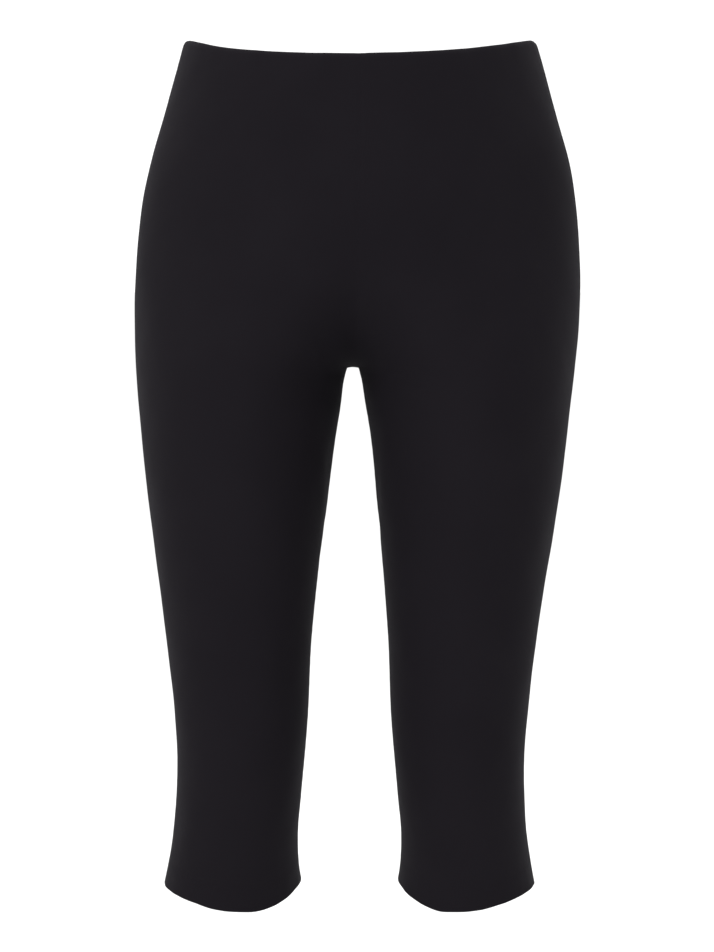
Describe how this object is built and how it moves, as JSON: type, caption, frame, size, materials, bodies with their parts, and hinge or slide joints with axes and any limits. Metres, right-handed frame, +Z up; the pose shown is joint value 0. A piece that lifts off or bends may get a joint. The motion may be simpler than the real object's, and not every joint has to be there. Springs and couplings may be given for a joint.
{
  "type": "capri pants",
  "caption": "Close-fitting pull-on capri pants in plain stretch cloth, hollow as worn, with an open waist and open hems below the knee.",
  "frame": {"origin": "middle of the waist opening, level with the waist edge at the side seams, where the wearer's waist holds the garment", "axes": "+Z up out of the waist opening, the front faces -Y, the wearer's left is +X, and the legs hang towards -Z"},
  "size_m": [0.3608, 0.2463, 0.7047],
  "materials": {
    "cloth": "matt black stretch knit"
  },
  "bodies": {
    "root": {"front_left": "cloth", "front_right": "cloth", "back_left": "cloth", "back_right": "cloth"}
  },
  "joints": []
}
